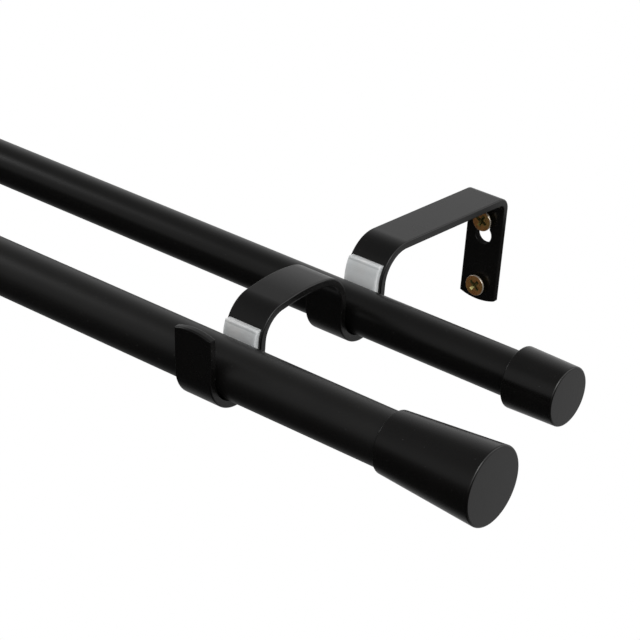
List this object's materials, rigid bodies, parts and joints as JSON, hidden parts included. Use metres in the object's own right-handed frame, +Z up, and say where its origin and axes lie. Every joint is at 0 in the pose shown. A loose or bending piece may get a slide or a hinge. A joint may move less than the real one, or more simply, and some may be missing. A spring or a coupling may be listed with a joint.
{
  "type": "double curtain pole",
  "caption": "Satin black double curtain pole with extending tubes, bent strap wall brackets, clear pads, a flared cap on the front pole and a short cap on the back pole",
  "frame": {"origin": "centre of the four wall screws, on the wall's face, halfway between the brackets", "axes": "+X along the poles towards the outer tubes' capped end, +Y into the wall, +Z up"},
  "size_m": [0.7862, 0.1907, 0.0433],
  "materials": {
    "black_powder_coat": "satin",
    "black_cap_coat": "satin",
    "black_plastic": "matte",
    "clear_pad": "satin",
    "yellow_zinc": "satin"
  },
  "bodies": {
    "wall_frame": {"front_outer_tube": "black_powder_coat", "back_outer_tube": "black_powder_coat", "bracket_right": "black_powder_coat", "bracket_left": "black_powder_coat", "front_finial_right": "black_cap_coat", "back_finial_right": "black_cap_coat", "front_mouth_bush": "black_plastic", "back_mouth_bush": "black_plastic", "front_pad_right": "clear_pad", "back_pad_right": "clear_pad", "front_pad_left": "clear_pad", "back_pad_left": "clear_pad", "upper_screw_right": "yellow_zinc", "lower_screw_right": "yellow_zinc", "upper_screw_left": "yellow_zinc", "lower_screw_left": "yellow_zinc"},
    "front_extension": {"front_inner_tube": "black_powder_coat", "front_glide": "black_plastic", "front_finial_left": "black_cap_coat", "front_finial_sleeve": "black_plastic"},
    "back_extension": {"back_inner_tube": "black_powder_coat", "back_glide": "black_plastic", "back_finial_left": "black_cap_coat", "back_finial_sleeve": "black_plastic"}
  },
  "joints": [
    {"name": "front_pole_extend", "type": "slide", "parent": "wall_frame", "child": "front_extension", "axis": [-1, 0, 0], "range_m": [-0.038, 0.47]},
    {"name": "back_pole_extend", "type": "slide", "parent": "wall_frame", "child": "back_extension", "axis": [-1, 0, 0], "range_m": [-0.038, 0.47]}
  ]
}
